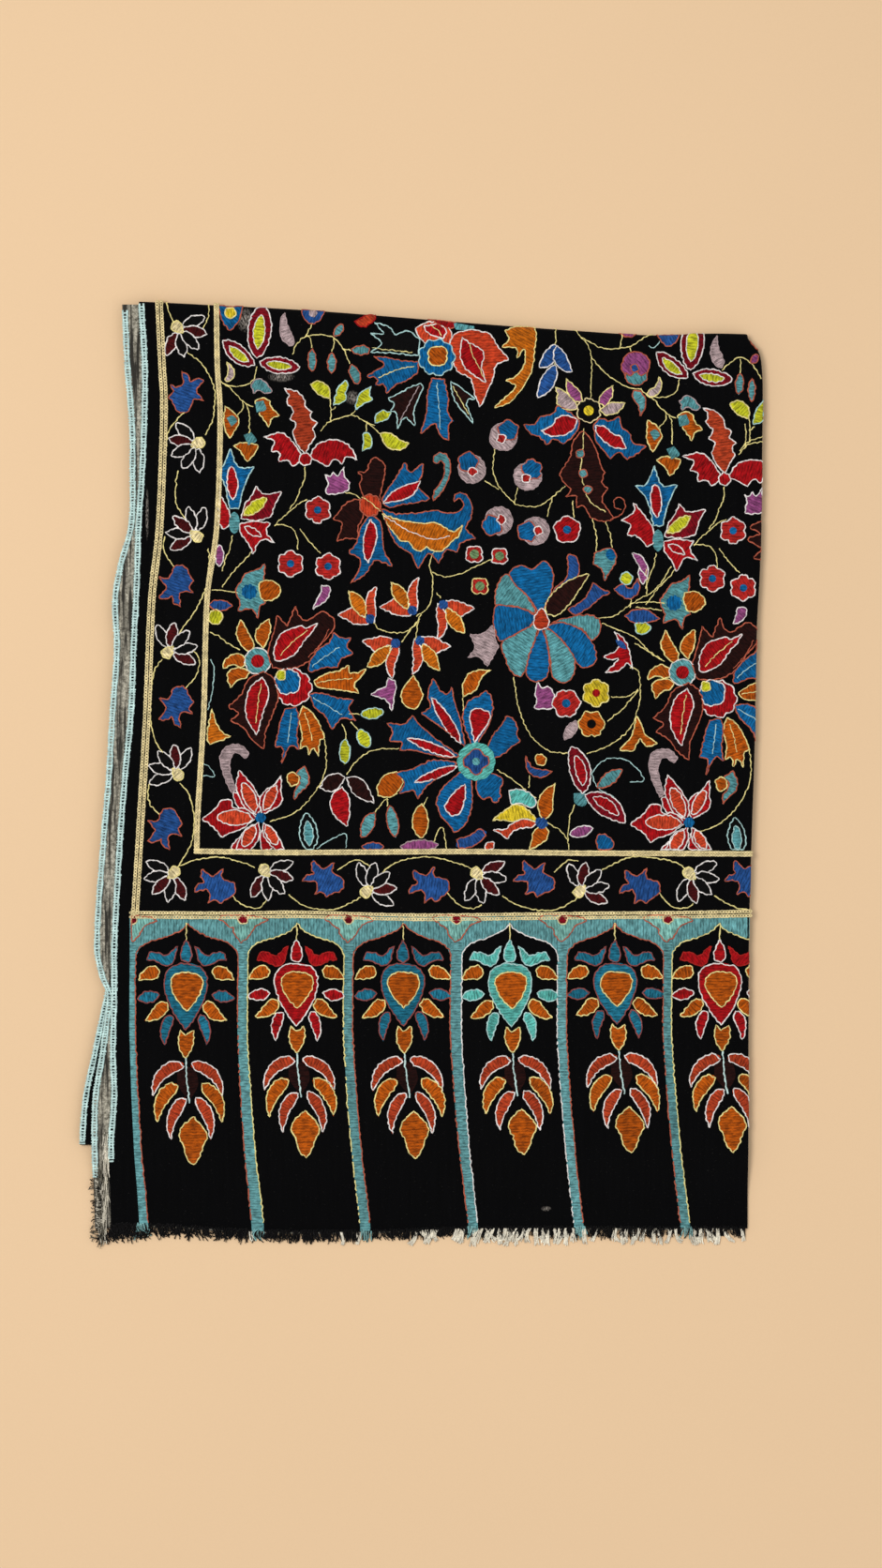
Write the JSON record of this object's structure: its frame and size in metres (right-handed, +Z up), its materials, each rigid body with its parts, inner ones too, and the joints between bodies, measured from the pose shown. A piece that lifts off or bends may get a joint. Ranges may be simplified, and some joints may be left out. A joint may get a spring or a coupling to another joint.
{
  "type": "folded kalamkari shawl",
  "caption": "Fringed shawl with allover floral embroidery, doubled along its length and folded flat in three.",
  "frame": {"origin": "under the middle of the folded shawl, on the surface that it lies on", "axes": "+Y from the fringed hem to the top fold, +X to the right across the shawl, +Z up from the surface"},
  "size_m": [0.5469, 0.7579, 0.0113],
  "materials": {
    "embroidered_face": "matte wool twill with dense coloured thread embroidery",
    "wrong_side": "matte, mottled grey with the ends of the stitches",
    "plain_ground": "matte black wool",
    "fringe": "soft frayed threads, black and cream"
  },
  "bodies": {
    "root": {"top_panel": "embroidered_face", "second_layer": "wrong_side", "third_layer": "embroidered_face", "inner_folds": "plain_ground", "top_fringe": "fringe", "second_fringe": "fringe"}
  },
  "joints": []
}
